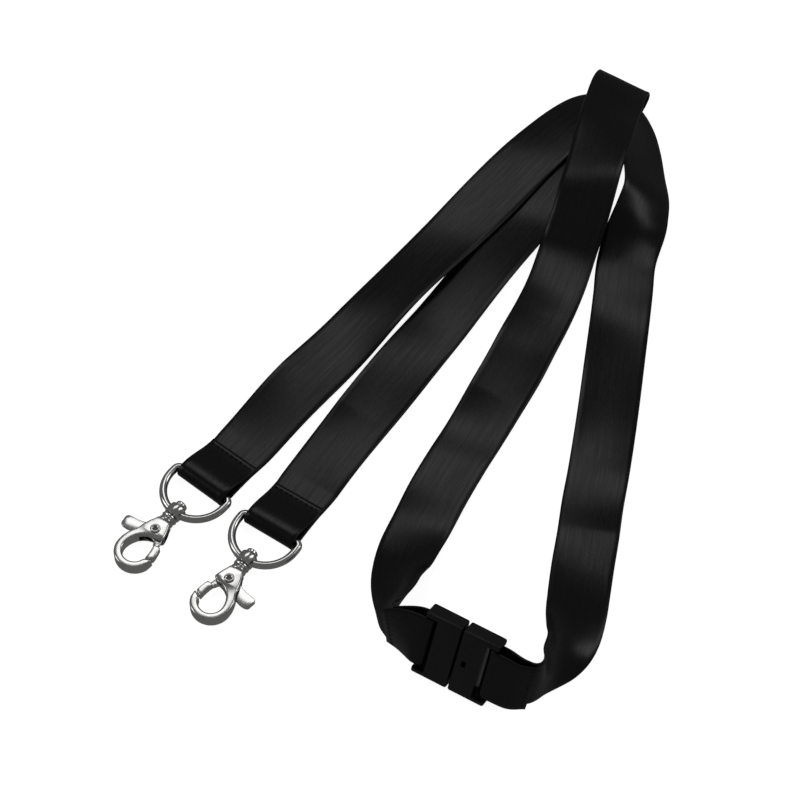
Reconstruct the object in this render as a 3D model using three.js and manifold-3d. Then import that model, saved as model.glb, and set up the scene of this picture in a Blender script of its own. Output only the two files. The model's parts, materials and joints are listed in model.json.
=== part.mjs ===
// Neck lanyard with two swivel snap hooks and a breakaway buckle, lying loosely folded on a surface.
// Millimetres, +X right, +Y away from the viewer, +Z up, origin under the middle of the whole object.
import * as THREE from 'three';
import { mergeVertices } from 'three/addons/utils/BufferGeometryUtils.js';
import Module from 'manifold-3d';

const wasm = await Module();
wasm.setup();

// Ribbon
const RIBBON_WIDTH = 20;
const SEWN_WIDTH = 18.7; // where it is folded round a ring or a buckle and drawn in
const RIBBON_THICK = 0.9;
const FLOOR_LAYER = 0.6; // height of the middle of a ribbon that lies on the surface
const STEPS_PER_STATION = 3;

// Sewn loop that holds a D-ring
const BAR_HEIGHT = 3.0;
const LOOP_RADIUS = 2.55; // from the bar's middle to the middle of the ribbon
const TAIL_LENGTH = 15.2;
const STITCH_FROM_BAR = 13.7;
const THREAD_RADIUS = 0.2;
const STITCH_HALF = 8.8;

// D-ring and its swivel boss
const RING_WIRE = 1.3;
const RING_RADIUS = 10.95;
const BOW_MIDDLE = 3.3; // from the bar's middle to the middle of the half circle
const BOSS_RADIUS = 2.9;
const BOSS_START = 11.9;
const BOSS_END = 16.1;
const BOSS_BORE = 1.5;

// Snap hook, along its own Y from the D-ring's bar
const STUD_RADIUS = 1.15;
const STUD_HEAD_RADIUS = 2.0;
const NECK_START = 16.45;
const NECK_END = 19.5;
const HOOK_HALF_THICK = 2.1;
const PIN_Y = 23.4;
const EYE_Y = 33.2;
const EYE_OUTER = 6.8;
const EYE_INNER = 4.15;
const SLOT_HALF = 1.15;
const SEAM_RADIUS = 10.9; // from the pin
const SEAM_GAP = 0.35;

// Lever, rivet and spring
const LEVER_LOW = -0.85;
const LEVER_HIGH = 0.1;
const GATE_HALF_THICK = 1.3;
const RIVET_BORE = 0.7;
const RIVET_SHANK = 1.1;
const RIVET_HEAD = 1.65;
const PIVOT_HOLE = 1.4;
const SPRING_WIRE = 0.16;
const SPRING_RADIUS = 1.8;

// Breakaway buckle, along its own X from the split, Y across the ribbon, Z out of its face
const BUCKLE_CENTRE = new THREE.Vector3(18, -101.5, 12.6);
const BUCKLE_HEADING = -30;
const BUCKLE_LEAN = 65;
const BUCKLE_HALF_WIDTH = 12;
const BUCKLE_HALF_THICK = 3.1;
const SPLIT_GAP = 0.25;
const BODY_END = 8.4;
const BAR_START = 10.4;
const BAR_END = 12.0;
const RAIL_END = 12.8;
const RAIL_INSIDE = 10.35;
const BAR_HALF_THICK = 1.2;
const POCKET_DEPTH = 6.8;
const TONGUE_LENGTH = 6.0;

// Colours and finishes
const WEBBING = { color: 0x101012, roughness: 0.62, metalness: 0 };
const THREAD = { color: 0x0c0c0d, roughness: 0.8, metalness: 0 };
const NICKEL = { color: 0xc9c6c0, roughness: 0.22, metalness: 1 };
const STEEL = { color: 0x9a9894, roughness: 0.35, metalness: 1 };
const PLASTIC = { color: 0x121214, roughness: 0.45, metalness: 0 };

const radians = THREE.MathUtils.degToRad;

// ---------------------------------------------------------------- solids

function merged(geometry) {
  const bare = geometry.clone();
  bare.deleteAttribute('normal');
  bare.deleteAttribute('uv');
  return mergeVertices(bare, 1e-4);
}

function toSolid(geometry) {
  const mesh = merged(geometry);
  return new wasm.Manifold(new wasm.Mesh({
    numProp: 3,
    vertProperties: new Float32Array(mesh.attributes.position.array),
    triVerts: new Uint32Array(mesh.index.array),
  }));
}

function toGeometry(solid) {
  const mesh = solid.getMesh();
  const geometry = new THREE.BufferGeometry();
  geometry.setAttribute('position', new THREE.BufferAttribute(mesh.vertProperties, 3));
  geometry.setIndex(new THREE.BufferAttribute(mesh.triVerts, 1));
  return geometry;
}

function joined(geometries) {
  return geometries.map(toSolid).reduce((whole, next) => whole.add(next));
}

function piece(name, geometry, finish) {
  const mesh = new THREE.Mesh(geometry, new THREE.MeshStandardMaterial(finish));
  mesh.name = name;
  return mesh;
}

function boxFrom(low, high) {
  const size = high.map((value, i) => value - low[i]);
  const geometry = new THREE.BoxGeometry(...size);
  geometry.translate(...low.map((value, i) => value + size[i] / 2));
  return geometry;
}

// A turned shape about Y: the profile is [radius, y] pairs, closed on the axis.
function turned(profile, segments = 16) {
  return new THREE.LatheGeometry(profile.map(([r, y]) => new THREE.Vector2(r, y)), segments);
}

function rodAlongZ(radius, low, high, x, y, segments = 14) {
  const geometry = new THREE.CylinderGeometry(radius, radius, high - low, segments);
  geometry.rotateX(Math.PI / 2);
  geometry.translate(x, y, (low + high) / 2);
  return geometry;
}

// A flat outline in X and Y given a thickness, with its edges slightly rounded.
function plate(shape, low, high, round = 0) {
  const geometry = new THREE.ExtrudeGeometry(shape, {
    depth: high - low - 2 * round,
    bevelEnabled: round > 0,
    bevelThickness: round,
    bevelSize: round,
    bevelOffset: -round,
    bevelSegments: 1,
    curveSegments: 6,
  });
  geometry.translate(0, 0, low + round);
  return geometry;
}

// ---------------------------------------------------------------- ribbon

// A station is [x, y, z, azimuth, lean, width]: a point on the middle of the ribbon, the direction
// across it, as degrees round Z and degrees above the horizontal, and its width if it is drawn in.
function acrossOf([, , , azimuth, lean]) {
  const flat = Math.cos(radians(lean));
  return new THREE.Vector3(
    flat * Math.cos(radians(azimuth)), flat * Math.sin(radians(azimuth)), Math.sin(radians(lean)));
}

function ribbonFrames(stations) {
  const middle = new THREE.CatmullRomCurve3(stations.map(([x, y, z]) => new THREE.Vector3(x, y, z)));
  const across = new THREE.CatmullRomCurve3(stations.map(acrossOf));
  const steps = (stations.length - 1) * STEPS_PER_STATION;
  const frames = [];
  for (let i = 0; i <= steps; i += 1) {
    const t = i / steps;
    const along = middle.getTangent(t);
    const side = across.getPoint(t);
    side.addScaledVector(along, -side.dot(along)).normalize();
    const stretch = Math.min(Math.floor(i / STEPS_PER_STATION), stations.length - 2);
    const [width, nextWidth] = [stations[stretch], stations[stretch + 1]].map(
      (station) => station[5] ?? RIBBON_WIDTH);
    frames.push({
      point: middle.getPoint(t),
      side,
      face: along.clone().cross(side),
      half: THREE.MathUtils.lerp(width, nextWidth, i / STEPS_PER_STATION - stretch) / 2,
    });
  }
  return frames;
}

function ribbon(stations) {
  const frames = ribbonFrames(stations);
  const corners = [[-1, -1], [1, -1], [1, 1], [-1, 1]];
  const positions = [];
  for (const { point, side, face, half } of frames) {
    for (const [u, v] of corners) {
      const corner = point.clone();
      corner.addScaledVector(side, u * half).addScaledVector(face, v * RIBBON_THICK / 2);
      positions.push(corner.x, corner.y, corner.z);
    }
  }
  const index = [0, 2, 1, 0, 3, 2];
  for (let row = 0; row < frames.length - 1; row += 1) {
    for (let k = 0; k < 4; k += 1) {
      const a = row * 4 + k;
      const b = row * 4 + (k + 1) % 4;
      index.push(a, b, b + 4, a, b + 4, a + 4);
    }
  }
  const end = (frames.length - 1) * 4;
  index.push(end, end + 1, end + 2, end, end + 2, end + 3);
  const geometry = new THREE.BufferGeometry();
  geometry.setAttribute('position', new THREE.Float32BufferAttribute(positions, 3));
  geometry.setIndex(index);
  return geometry;
}

// The end of a strap, folded back over a D-ring's bar and sewn down on top of itself.
function hookLoop([x, y], heading) {
  const across = heading - 90;
  const profile = [
    [TAIL_LENGTH, FLOOR_LAYER + 1.25], [11.5, FLOOR_LAYER + 1.75], [7, 4.0], [3, 5.3],
    ...[80, 125, 180, 235, 275].map((turn) => [
      LOOP_RADIUS * Math.cos(radians(turn)), BAR_HEIGHT + LOOP_RADIUS * Math.sin(radians(turn))]),
    [5, FLOOR_LAYER], [12, FLOOR_LAYER],
  ];
  return profile.map(([along, z]) => [
    x + along * Math.cos(radians(heading)), y + along * Math.sin(radians(heading)), z, across, 0,
    SEWN_WIDTH]);
}

// The frame of the buckle: along its length, up its width, and out of its face.
const buckleAlong = new THREE.Vector3(
  Math.cos(radians(BUCKLE_HEADING)), Math.sin(radians(BUCKLE_HEADING)), 0);
const buckleUp = acrossOf([0, 0, 0, BUCKLE_HEADING + 90, BUCKLE_LEAN]);
const buckleFace = buckleAlong.clone().cross(buckleUp);

// The ribbon's way round a buckle bar, as distances from the split and out of the face: in behind
// the bar, through the slot, and back over the front.
const BAR_ROUTE = [[15, -2.1], [12, -2.15], [10.2, -1.85], [9.3, 0], [10.2, 1.85], [12, 2.15], [15, 2.1]];

function buckleLoop(side) {
  return BAR_ROUTE.map(([along, out]) => {
    const point = BUCKLE_CENTRE.clone();
    point.addScaledVector(buckleAlong, side * along).addScaledVector(buckleFace, out);
    return [point.x, point.y, point.z, BUCKLE_HEADING + 90, BUCKLE_LEAN, SEWN_WIDTH];
  });
}

const HOOK_A = { bar: [-63.1, -33.9], heading: 51, flipped: true };
const HOOK_B = { bar: [-40.8, -50.7], heading: 56.3, flipped: false };

// Strap A: from its hook up to the turn at the far end, round it with the inner edge raised, and
// back down the right-hand side.
const STRAP_A = [
  ...hookLoop(HOOK_A.bar, HOOK_A.heading),
  [-50.3, -18, 0.6, -39, 0],
  [-37.5, -1.6, 0.9, -39, 0],
  [-17.3, 23, 0.8, -39.5, 0],
  [2.6, 47.4, 1.6, -39.8, 3],
  [24.5, 72.9, 1.95, -40, 2.5],
  [46, 98.4, 2.5, -42, 4],
  [58, 111.2, 3.2, -48, 7],
  [65.1, 116.2, 3.9, -65, 10],
  [70.3, 117, 4.4, -92, 14],
  [75.2, 115.2, 5.1, -124, 19],
  [79, 109.2, 6.2, -152, 27],
  [81.6, 100.2, 7.2, -168, 34],
  [83.3, 89.6, 7.7, -177, 40],
  [83.9, 79.3, 7.5, 178, 40],
  [81.8, 71.1, 6, 171, 31],
  [78.7, 62.4, 2.9, 166, 12],
  [76.3, 53, 1, 167, 1],
  [74.8, 40.5, 0.6, 170, 0],
  [71.4, 16.5, 0.7, 171.5, 0],
  [67.9, -7.1, 1.2, 171, 0],
  [64, -30.2, 2.2, 170.5, 0],
  [61.9, -41, 2.2, 170, 0],
];

// The last stretch of strap A, which moves with the socket half of the buckle.
const STRAP_A_NECK = [
  [61.75, -41.7, 2.2, 170, 0],
  [60, -52.6, 1.7, 170, 0],
  [58, -63.6, 2, 171, 4],
  [56.6, -72.5, 2.9, 178, 10],
  [55.3, -81, 4.2, -173, 17],
  [53.2, -91, 6.5, -176, 32],
  [49.9, -98.5, 8.8, -171, 49],
  [46.2, -104.3, 10.5, -162, 66],
  [44.7, -107.6, 11, -150, 81, SEWN_WIDTH],
  [42.6, -109.9, 11.3, 85, 82, SEWN_WIDTH],
  [39.6, -110.9, 11.6, 68, 75, SEWN_WIDTH],
  [36, -110.1, 12, 62, 69, SEWN_WIDTH],
  ...buckleLoop(1),
  [34.6, -112.9, 13.1, 60, 68, SEWN_WIDTH],
  [38.9, -112.9, 12.4, 66, 74, SEWN_WIDTH],
  [40.3, -113, 12.1, 68, 75, SEWN_WIDTH],
];

// Strap B: from its hook straight up to the fold at the far end, back over the top of strap A, and
// down to the plug half of the buckle.
const STRAP_B = [
  ...hookLoop(HOOK_B.bar, HOOK_B.heading),
  [-29.7, -34, 0.6, -34, 0],
  [-19.2, -18, 0.7, -34.5, 0],
  [-1, 8.4, 0.6, -34.5, 0],
  [17.2, 34.9, 0.6, -34.5, 0],
  [34.1, 59.5, 0.6, -34, 0],
  [50, 84, 0.6, -33, 0],
  [64, 106, 0.6, -33, 0],
  [77.1, 125.7, 0.7, -31, 0],
  [78.3, 127.8, 1.6, -30, 0],
  [78.8, 128.6, 4, -30, 0],
  [78.3, 127.6, 6.4, -27, 0],
  [76.8, 124.5, 7.6, -24, 0],
  [74, 114.5, 9.9, -18, 5],
  [71.2, 104, 12.8, -15, 9],
  [68.6, 94, 14.3, -15, 13],
  [66, 84.5, 14.1, -16, 11],
  [64.1, 78, 12.5, -17, 6],
  [61, 68.5, 8.2, -18, 2],
  [57.6, 60, 3, -20, 0],
  [52.8, 45.5, 1, -21, 0],
  [48, 33.2, 1.6, -23, 0],
  [42.5, 21.1, 2.2, -25, 0],
  [36.8, 9.2, 1.4, -27, 0],
  [24.3, -14.2, 1.2, -28, 0],
  [18.1, -25.7, 2.2, -28, 0],
  [12.2, -37.1, 2.2, -26, 0],
  [7, -48.3, 1.6, -24, 4],
  [2.9, -57.5, 2.5, -14, 9],
  [0.3, -66, 3.9, -5, 20],
  [-0.7, -72.5, 6, -3, 36],
  [-1, -78, 7.8, -2, 50],
  [-1.6, -82.5, 9.2, -3, 61],
  [-2.3, -86.3, 10.2, -5, 73],
  [-2.6, -88.4, 10.5, 20, 85, SEWN_WIDTH],
  [-1, -89.9, 10.8, 50, 86, SEWN_WIDTH],
  [2.2, -91, 11.5, 60, 78, SEWN_WIDTH],
  ...buckleLoop(-1),
  [0, -93, 12.2, 60, 77, SEWN_WIDTH],
  [-3.5, -90.8, 11.1, 60, 86, SEWN_WIDTH],
  [-4.7, -90.2, 11, 60, 88, SEWN_WIDTH],
];

// ---------------------------------------------------------------- stitches

// A row of sewing across a ribbon: one thread that rises and sinks along its length.
function stitchRow(point, across, out) {
  const points = [];
  const waves = 9;
  for (let i = 0; i <= waves * 2; i += 1) {
    const place = (i / (waves * 2) * 2 - 1) * STITCH_HALF;
    const lift = (i % 2 ? 0.12 : 0);
    points.push(point.clone().addScaledVector(across, place).addScaledVector(out, lift));
  }
  const section = new THREE.Shape();
  section.absarc(0, 0, THREAD_RADIUS, 0, 2 * Math.PI);
  return new THREE.ExtrudeGeometry(section, {
    extrudePath: new THREE.CatmullRomCurve3(points),
    steps: waves * 2,
    curveSegments: 2,
    bevelEnabled: false,
  });
}

function hookStitch({ bar: [x, y], heading }) {
  const angle = radians(heading);
  const above = FLOOR_LAYER + 1.75 + RIBBON_THICK / 2 + THREAD_RADIUS + 0.15;
  const point = new THREE.Vector3(
    x + STITCH_FROM_BAR * Math.cos(angle), y + STITCH_FROM_BAR * Math.sin(angle), above);
  return stitchRow(
    point, new THREE.Vector3(Math.sin(angle), -Math.cos(angle), 0), new THREE.Vector3(0, 0, 1));
}

// The sewing just inside a strap's end, in front of the ribbon that is folded forward.
function neckStitch(stations) {
  const frames = ribbonFrames(stations);
  const { point, side, face } = frames[frames.length - 4];
  const out = face.dot(buckleFace) > 0 ? face : face.clone().negate();
  const lift = RIBBON_THICK / 2 + THREAD_RADIUS + 0.8;
  return stitchRow(point.clone().addScaledVector(out, lift), side, out);
}

// ---------------------------------------------------------------- D-ring and hook

// The ring is a half circle of wire with short straight sides, a bar across them and a boss at its
// far side.
function dRing() {
  const section = new THREE.Shape();
  section.absarc(0, 0, RING_WIRE, 0, 2 * Math.PI);
  const points = [];
  points.push(new THREE.Vector3(RING_RADIUS, 0, 0));
  for (let turn = 0; turn <= 180; turn += 9) {
    points.push(new THREE.Vector3(
      RING_RADIUS * Math.cos(radians(turn)), BOW_MIDDLE + RING_RADIUS * Math.sin(radians(turn)), 0));
  }
  points.push(new THREE.Vector3(-RING_RADIUS, 0, 0));
  const bow = new THREE.ExtrudeGeometry(section, {
    extrudePath: new THREE.CatmullRomCurve3(points), steps: 30, curveSegments: 5, bevelEnabled: false });
  const bar = new THREE.CylinderGeometry(RING_WIRE, RING_WIRE, 2 * RING_RADIUS, 12);
  bar.rotateZ(Math.PI / 2);
  bar.rotateX(radians(9));
  const corners = [-1, 1].map((side) => {
    const ball = new THREE.SphereGeometry(RING_WIRE * 1.02, 12, 8);
    ball.rotateX(radians(5));
    ball.translate(side * RING_RADIUS, 0, 0);
    return ball;
  });
  const chamfer = 0.5;
  const boss = turned([
    [0, BOSS_START], [BOSS_RADIUS - chamfer, BOSS_START], [BOSS_RADIUS, BOSS_START + chamfer],
    [BOSS_RADIUS, BOSS_END - chamfer], [BOSS_RADIUS - chamfer, BOSS_END], [0, BOSS_END]], 18);
  boss.rotateY(radians(4));
  const bore = turned([
    [0, BOSS_START - 2], [BOSS_BORE, BOSS_START - 2], [BOSS_BORE, BOSS_END + 2], [0, BOSS_END + 2]]);
  return toGeometry(joined([bow, bar, ...corners, boss]).subtract(toSolid(bore)));
}

// The seam between gate and nose follows a circle about the pin, so that the gate swings clear.
function onSeam(x, radius) {
  return [x, PIN_Y + Math.sqrt(radius ** 2 - x ** 2)];
}

// The hook's outline: cheeks that widen from the neck to the pin, then the spine and the round
// eye, open on the +X side where the gate closes it.
function hookOutline() {
  const shape = new THREE.Shape();
  shape.moveTo(2.5, NECK_END - 0.6);
  shape.bezierCurveTo(3, 20.9, 4.3, 22.6, 4.6, 25.2);
  shape.lineTo(3.6, 26.4);
  shape.bezierCurveTo(0.6, 25.6, -1.5, 27.2, -2.8, 28.9);
  shape.bezierCurveTo(-3.7, 30.2, -EYE_INNER, 31.8, -EYE_INNER, EYE_Y);
  shape.absarc(0, EYE_Y, EYE_INNER, Math.PI, 0.16, true);
  shape.lineTo(...onSeam(EYE_OUTER - 0.1, SEAM_RADIUS + SEAM_GAP));
  shape.lineTo(EYE_OUTER, EYE_Y);
  shape.absarc(0, EYE_Y, EYE_OUTER, 0, Math.PI, false);
  shape.bezierCurveTo(-EYE_OUTER, 29.6, -5.3, 27.8, -4.6, 25);
  shape.bezierCurveTo(-4.1, 22.6, -3, 20.9, -2.5, NECK_END - 0.6);
  shape.closePath();
  return shape;
}

function hookBody() {
  const body = plate(hookOutline(), -HOOK_HALF_THICK, HOOK_HALF_THICK, 0.5);
  const neck = turned([
    [0, BOSS_START - 1.5], [1.2, BOSS_START - 1.5], [STUD_HEAD_RADIUS, BOSS_START - 0.9],
    [STUD_HEAD_RADIUS, BOSS_START - 0.3], [STUD_RADIUS, BOSS_START - 0.3],
    [STUD_RADIUS, NECK_START], [2.7, NECK_START], [2.8, NECK_START + 0.4], [2.7, NECK_START + 1],
    [2.2, NECK_START + 1.2], [2.2, NECK_START + 1.5], [2.6, NECK_START + 1.7],
    [2.6, NECK_START + 2.6], [2.1, NECK_END], [0, NECK_END]], 18);
  const slot = boxFrom([-14, 20.3, -SLOT_HALF], [14, 28.6, SLOT_HALF]);
  const pinHole = rodAlongZ(PIVOT_HOLE, -4, 4, 0, PIN_Y);
  return toGeometry(joined([body, neck]).subtract(toSolid(slot)).subtract(toSolid(pinHole)));
}

function leverOutline() {
  const shape = new THREE.Shape();
  shape.moveTo(2.2, 21.8);
  shape.quadraticCurveTo(3.6, 23.4, 4.2, 25.6);
  shape.lineTo(4.9, 27.9);
  shape.lineTo(2.9, 27.9);
  shape.quadraticCurveTo(1.6, 26.2, -0.6, 26.3);
  shape.bezierCurveTo(-3, 26.6, -4.8, 27.4, -6.4, 28.1);
  shape.bezierCurveTo(-8.4, 29, -10.7, 28.8, -10.9, 26.9);
  shape.bezierCurveTo(-11, 25, -9.4, 24.2, -8, 23.9);
  shape.bezierCurveTo(-5.4, 23.4, -4, 22.8, -2.4, 21.6);
  shape.quadraticCurveTo(0, 20.8, 2.2, 21.8);
  shape.closePath();
  return shape;
}

// The lever: a thin plate on the pin with the thumb paddle on one side, and the thicker gate that
// closes the eye on the other.
function lever() {
  const flat = plate(leverOutline(), LEVER_LOW, LEVER_HIGH, 0.15);
  const gate = new THREE.Shape();
  gate.moveTo(3.1, 27.5);
  gate.lineTo(5.5, 27.5);
  gate.quadraticCurveTo(6.4, 30, ...onSeam(EYE_OUTER - 0.25, SEAM_RADIUS));
  gate.lineTo(...onSeam(EYE_INNER - 0.05, SEAM_RADIUS));
  gate.quadraticCurveTo(3.9, 30, 3.1, 27.5);
  gate.closePath();
  const bar = plate(gate, -GATE_HALF_THICK, GATE_HALF_THICK, 0.35);
  const hole = rodAlongZ(PIVOT_HOLE, -4, 4, 0, PIN_Y);
  return toGeometry(joined([flat, bar]).subtract(toSolid(hole)));
}

// A tubular rivet with a rolled head at each end, closed on itself round its open bore.
function pivotRivet() {
  const face = HOOK_HALF_THICK + 0.12;
  const head = 0.45;
  const profile = [
    [RIVET_BORE, -face - head], [RIVET_HEAD - 0.3, -face - head], [RIVET_HEAD, -face - 0.15],
    [RIVET_HEAD, -face], [RIVET_SHANK, -face], [RIVET_SHANK, face], [RIVET_HEAD, face],
    [RIVET_HEAD, face + 0.15], [RIVET_HEAD - 0.3, face + head], [RIVET_BORE, face + head],
    [RIVET_BORE, -face - head]];
  const geometry = turned(profile, 14);
  geometry.rotateX(Math.PI / 2);
  geometry.translate(0, PIN_Y, 0);
  return geometry;
}

// The torsion spring that shuts the gate: two turns of thin wire round the rivet.
function leverSpring() {
  const points = [];
  const perTurn = 10;
  for (let i = 0; i <= perTurn * 2; i += 1) {
    const turn = i / perTurn * 2 * Math.PI;
    points.push(new THREE.Vector3(
      SPRING_RADIUS * Math.cos(turn), PIN_Y + SPRING_RADIUS * Math.sin(turn),
      0.42 + 0.4 * i / (perTurn * 2)));
  }
  const section = new THREE.Shape();
  section.absarc(0, 0, SPRING_WIRE, 0, 2 * Math.PI);
  return new THREE.ExtrudeGeometry(section, {
    extrudePath: new THREE.CatmullRomCurve3(points), steps: 24, curveSegments: 2, bevelEnabled: false });
}

// One D-ring with its hook, its own Y pointing away from the strap. A flipped hook is turned over
// on its swivel, so that its gate faces the other way.
function hookSet(letter, { bar: [x, y], heading, flipped }) {
  const set = new THREE.Group();
  set.position.set(x, y, BAR_HEIGHT);
  set.rotation.z = radians(heading + 90);
  set.add(piece(`d_ring_${letter}`, dRing(), NICKEL));
  const hook = new THREE.Group();
  hook.rotation.y = flipped ? Math.PI : 0;
  hook.add(piece(`hook_body_${letter}`, hookBody(), NICKEL));
  hook.add(piece(`gate_lever_${letter}`, lever(), NICKEL));
  hook.add(piece(`pivot_rivet_${letter}`, pivotRivet(), NICKEL));
  hook.add(piece(`lever_spring_${letter}`, leverSpring(), STEEL));
  set.add(hook);
  return set;
}

// ---------------------------------------------------------------- buckle

function roundedRectangle(x0, x1, y0, y1, radius) {
  const shape = new THREE.Shape();
  shape.moveTo(x0 + radius, y0);
  shape.lineTo(x1 - radius, y0);
  shape.quadraticCurveTo(x1, y0, x1, y0 + radius);
  shape.lineTo(x1, y1 - radius);
  shape.quadraticCurveTo(x1, y1, x1 - radius, y1);
  shape.lineTo(x0 + radius, y1);
  shape.quadraticCurveTo(x0, y1, x0, y1 - radius);
  shape.lineTo(x0, y0 + radius);
  shape.quadraticCurveTo(x0, y0, x0 + radius, y0);
  return shape;
}

// The frame that both halves share, from the split outwards: the block, two rails and the bar
// that the ribbon goes round.
function buckleFrame() {
  const outline = roundedRectangle(
    SPLIT_GAP, RAIL_END, -BUCKLE_HALF_WIDTH, BUCKLE_HALF_WIDTH, 1.4);
  const block = toSolid(plate(outline, -BUCKLE_HALF_THICK, BUCKLE_HALF_THICK, 0.6));
  const opening = boxFrom([BODY_END, -RAIL_INSIDE, -5], [RAIL_END + 5, RAIL_INSIDE, 5]);
  const bar = boxFrom(
    [BAR_START, -RAIL_INSIDE - 0.5, -BAR_HALF_THICK], [BAR_END, RAIL_INSIDE + 0.5, BAR_HALF_THICK]);
  return block.subtract(toSolid(opening)).add(toSolid(bar));
}

// The socket: a pocket for the tongue and the two prongs, and a small window in the face where
// the tongue's catch shows.
function socketHalf() {
  const pocket = boxFrom([-2, -9.2, -1.5], [POCKET_DEPTH, 9.2, 1.5]);
  const window = boxFrom([2.4, -1.1, 0.5], [3.9, 1.1, 5]);
  return toGeometry(buckleFrame().subtract(toSolid(pocket)).subtract(toSolid(window)));
}

// The plug: the same frame turned round, with a flat tongue between two springy prongs.
function plugHalf() {
  const frame = buckleFrame();
  const reach = -TONGUE_LENGTH;
  const tongue = boxFrom([reach, -5.2, -1.1], [SPLIT_GAP + 1, 5.2, 1.1]);
  const catchBump = boxFrom([-3.6, -0.8, -1.35], [-2.7, 0.8, -0.8]);
  const prongs = [-1, 1].map((side) => {
    const shape = new THREE.Shape();
    shape.moveTo(SPLIT_GAP + 1, side * 6.2);
    shape.lineTo(reach + 0.8, side * 6.6);
    shape.lineTo(reach, side * 7.4);
    shape.lineTo(reach + 1.6, side * 8.8);
    shape.lineTo(reach + 2.6, side * 8.2);
    shape.lineTo(SPLIT_GAP + 1, side * 8.2);
    shape.closePath();
    return plate(shape, -1.1, 1.1);
  });
  return toGeometry(frame.add(joined([tongue, catchBump, ...prongs])));
}

function buckle() {
  const group = new THREE.Group();
  group.position.copy(BUCKLE_CENTRE);
  group.quaternion.setFromRotationMatrix(
    new THREE.Matrix4().makeBasis(buckleAlong, buckleUp, buckleFace));
  group.add(piece('buckle_socket', socketHalf(), PLASTIC));
  const plug = piece('buckle_plug', plugHalf(), PLASTIC);
  plug.rotation.y = Math.PI;
  group.add(plug);
  return group;
}

// ---------------------------------------------------------------- the whole lanyard

const lanyard = new THREE.Group();
lanyard.add(piece('strap_a', ribbon(STRAP_A), WEBBING));
lanyard.add(piece('strap_a_neck', ribbon(STRAP_A_NECK), WEBBING));
lanyard.add(piece('strap_b', ribbon(STRAP_B), WEBBING));
lanyard.add(piece('stitch_hook_a', hookStitch(HOOK_A), THREAD));
lanyard.add(piece('stitch_hook_b', hookStitch(HOOK_B), THREAD));
lanyard.add(piece('stitch_neck_a', neckStitch(STRAP_A_NECK), THREAD));
lanyard.add(piece('stitch_neck_b', neckStitch(STRAP_B), THREAD));
lanyard.add(hookSet('a', HOOK_A));
lanyard.add(hookSet('b', HOOK_B));
lanyard.add(buckle());

// The origin goes under the middle of the object, on the surface it lies on.
lanyard.updateMatrixWorld(true);
const box = new THREE.Box3().setFromObject(lanyard);
const middle = box.getCenter(new THREE.Vector3());
lanyard.position.set(-middle.x, -middle.y, -box.min.z);

export default lanyard;
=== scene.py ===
import json
import math

import bmesh
import bpy
import numpy as np
from mathutils import Matrix, Vector


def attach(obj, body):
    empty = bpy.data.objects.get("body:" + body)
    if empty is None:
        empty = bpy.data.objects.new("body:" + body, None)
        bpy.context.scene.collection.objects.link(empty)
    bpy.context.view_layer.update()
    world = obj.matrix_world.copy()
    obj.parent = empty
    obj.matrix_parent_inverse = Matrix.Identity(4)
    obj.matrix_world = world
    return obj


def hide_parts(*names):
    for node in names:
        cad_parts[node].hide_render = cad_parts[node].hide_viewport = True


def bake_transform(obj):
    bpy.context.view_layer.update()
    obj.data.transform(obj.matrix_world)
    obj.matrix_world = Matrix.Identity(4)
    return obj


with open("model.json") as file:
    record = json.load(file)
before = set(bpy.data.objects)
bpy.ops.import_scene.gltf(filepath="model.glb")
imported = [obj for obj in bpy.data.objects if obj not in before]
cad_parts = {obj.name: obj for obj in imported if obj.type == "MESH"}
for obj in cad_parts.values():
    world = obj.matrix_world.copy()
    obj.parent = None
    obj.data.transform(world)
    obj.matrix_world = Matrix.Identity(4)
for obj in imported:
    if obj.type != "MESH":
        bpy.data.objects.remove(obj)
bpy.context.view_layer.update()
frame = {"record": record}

# A neck lanyard of black satin ribbon, laid down in a loose loop: two straps, a snap hook on a D-ring
# at the end of each, and a breakaway buckle that joins them behind the neck.

MM = 0.001
JOINTS = {joint["name"]: joint for joint in frame["record"]["behaviour"]["joints"]}

# Ribbon
RIBBON_WIDTH = 20.0 * MM
SEWN_WIDTH = 18.7 * MM
RIBBON_THICK = 0.9 * MM
FLOOR_LAYER = 0.6
ROW_STEP = 0.8 * MM
STEPS_PER_STATION = 24

# How the loose part of a ribbon rolls from side to side as it lies, in metres along the ribbon
TWIST = math.radians(7.5)
TWIST_LENGTH = 0.112
TWIST_SOFTENING = 0.05
TWIST_FADE = 0.03
STILL_AT_HOOK = 0.045
STILL_AT_BUCKLE = 0.10
SWELL = 0.25 * MM
SWELL_LENGTH = 0.0075
EDGE_RIPPLE = 0.10 * MM
FIRST_TURN_A = 0.65
FIRST_TURN_B = 0.45

# Sewn loop that holds a D-ring, in millimetres
BAR_HEIGHT = 3.0
LOOP_RADIUS = 2.55
TAIL_LENGTH = 15.2
STITCH_FROM_BAR = 13.7
STITCH_FROM_END = 1.4
STITCH_HALF = 8.8
STITCH_DIP = 0.15
THREAD_RADIUS = 0.21

# D-ring and hook, in millimetres, along the hook's own Y from the D-ring's bar
RING_WIRE = 1.3
RING_RADIUS = 10.95
BOW_MIDDLE = 3.3
BOSS_START = 11.9
BOSS_END = 16.1
NECK_START = 16.45
HOOK_HALF_THICK = 2.1
PIN_Y = 23.4
EYE_Y = 33.2
EYE_RADIUS = 5.475
EYE_HALF_WIDE = 1.33
SLOT_HALF = 1.15
SLOT_START = 20.3
SLOT_END = 28.6
HOOK_REACH = 14
PIVOT_HOLE = 1.4

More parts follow.
